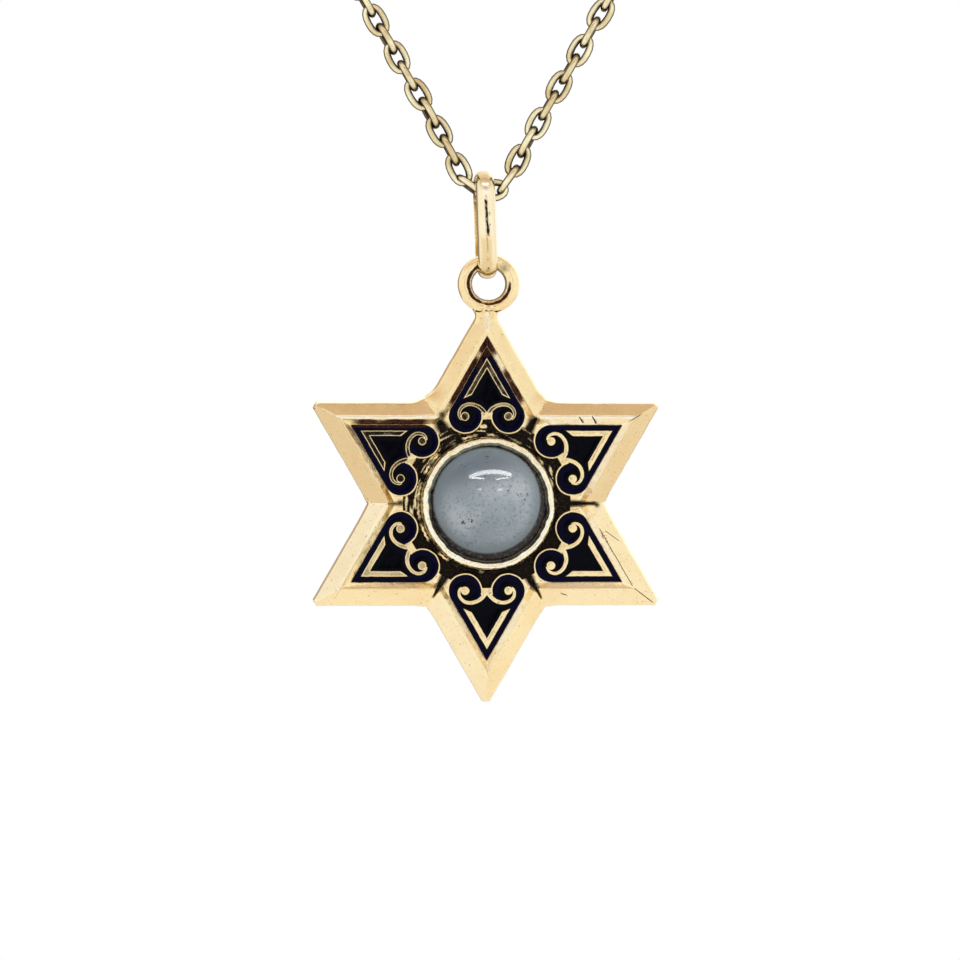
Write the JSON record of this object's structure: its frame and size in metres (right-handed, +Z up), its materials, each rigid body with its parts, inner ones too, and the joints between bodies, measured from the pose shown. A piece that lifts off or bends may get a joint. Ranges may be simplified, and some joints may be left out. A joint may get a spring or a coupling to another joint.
{
  "type": "star pendant on a neck chain",
  "caption": "Gold six-rayed star pendant with dark blue enamel panels and a round grey-blue cabochon, hanging by a long bail from a fine neck chain.",
  "frame": {"origin": "middle of the clasp ring at the back of the chain, where it lies on the nape", "axes": "+Z up, +X to the right as seen from the front, the front of the pendant faces -Y"},
  "size_m": [0.1152, 0.0902, 0.1297],
  "materials": {
    "chain_gold": "polished pale yellow gold, slightly darkened between the links",
    "bail_gold": "polished pale yellow gold",
    "star_gold": "polished pale yellow gold with fine wear, dark in the recesses",
    "moonstone": "polished, milky, with small dark specks",
    "enamel": "glossy vitreous enamel, dark navy"
  },
  "bodies": {
    "chain": {"neck_chain": "chain_gold", "clasp": "chain_gold"},
    "bail": {"bail": "bail_gold"},
    "star": {"star_body": "star_gold", "moonstone": "moonstone", "enamel_top": "enamel", "enamel_upper_right": "enamel", "enamel_lower_right": "enamel", "enamel_bottom": "enamel", "enamel_lower_left": "enamel", "enamel_upper_left": "enamel"}
  },
  "joints": [
    {"name": "bail_swing", "type": "hinge", "parent": "chain", "child": "bail", "pos_m": [0, -0.086, -0.096], "axis": [1, 0, 0], "range_deg": [-90, 90]},
    {"name": "star_swing", "type": "hinge", "parent": "bail", "child": "star", "pos_m": [0, -0.086, -0.10018], "axis": [1, 0, 0], "range_deg": [-80, 80]}
  ]
}
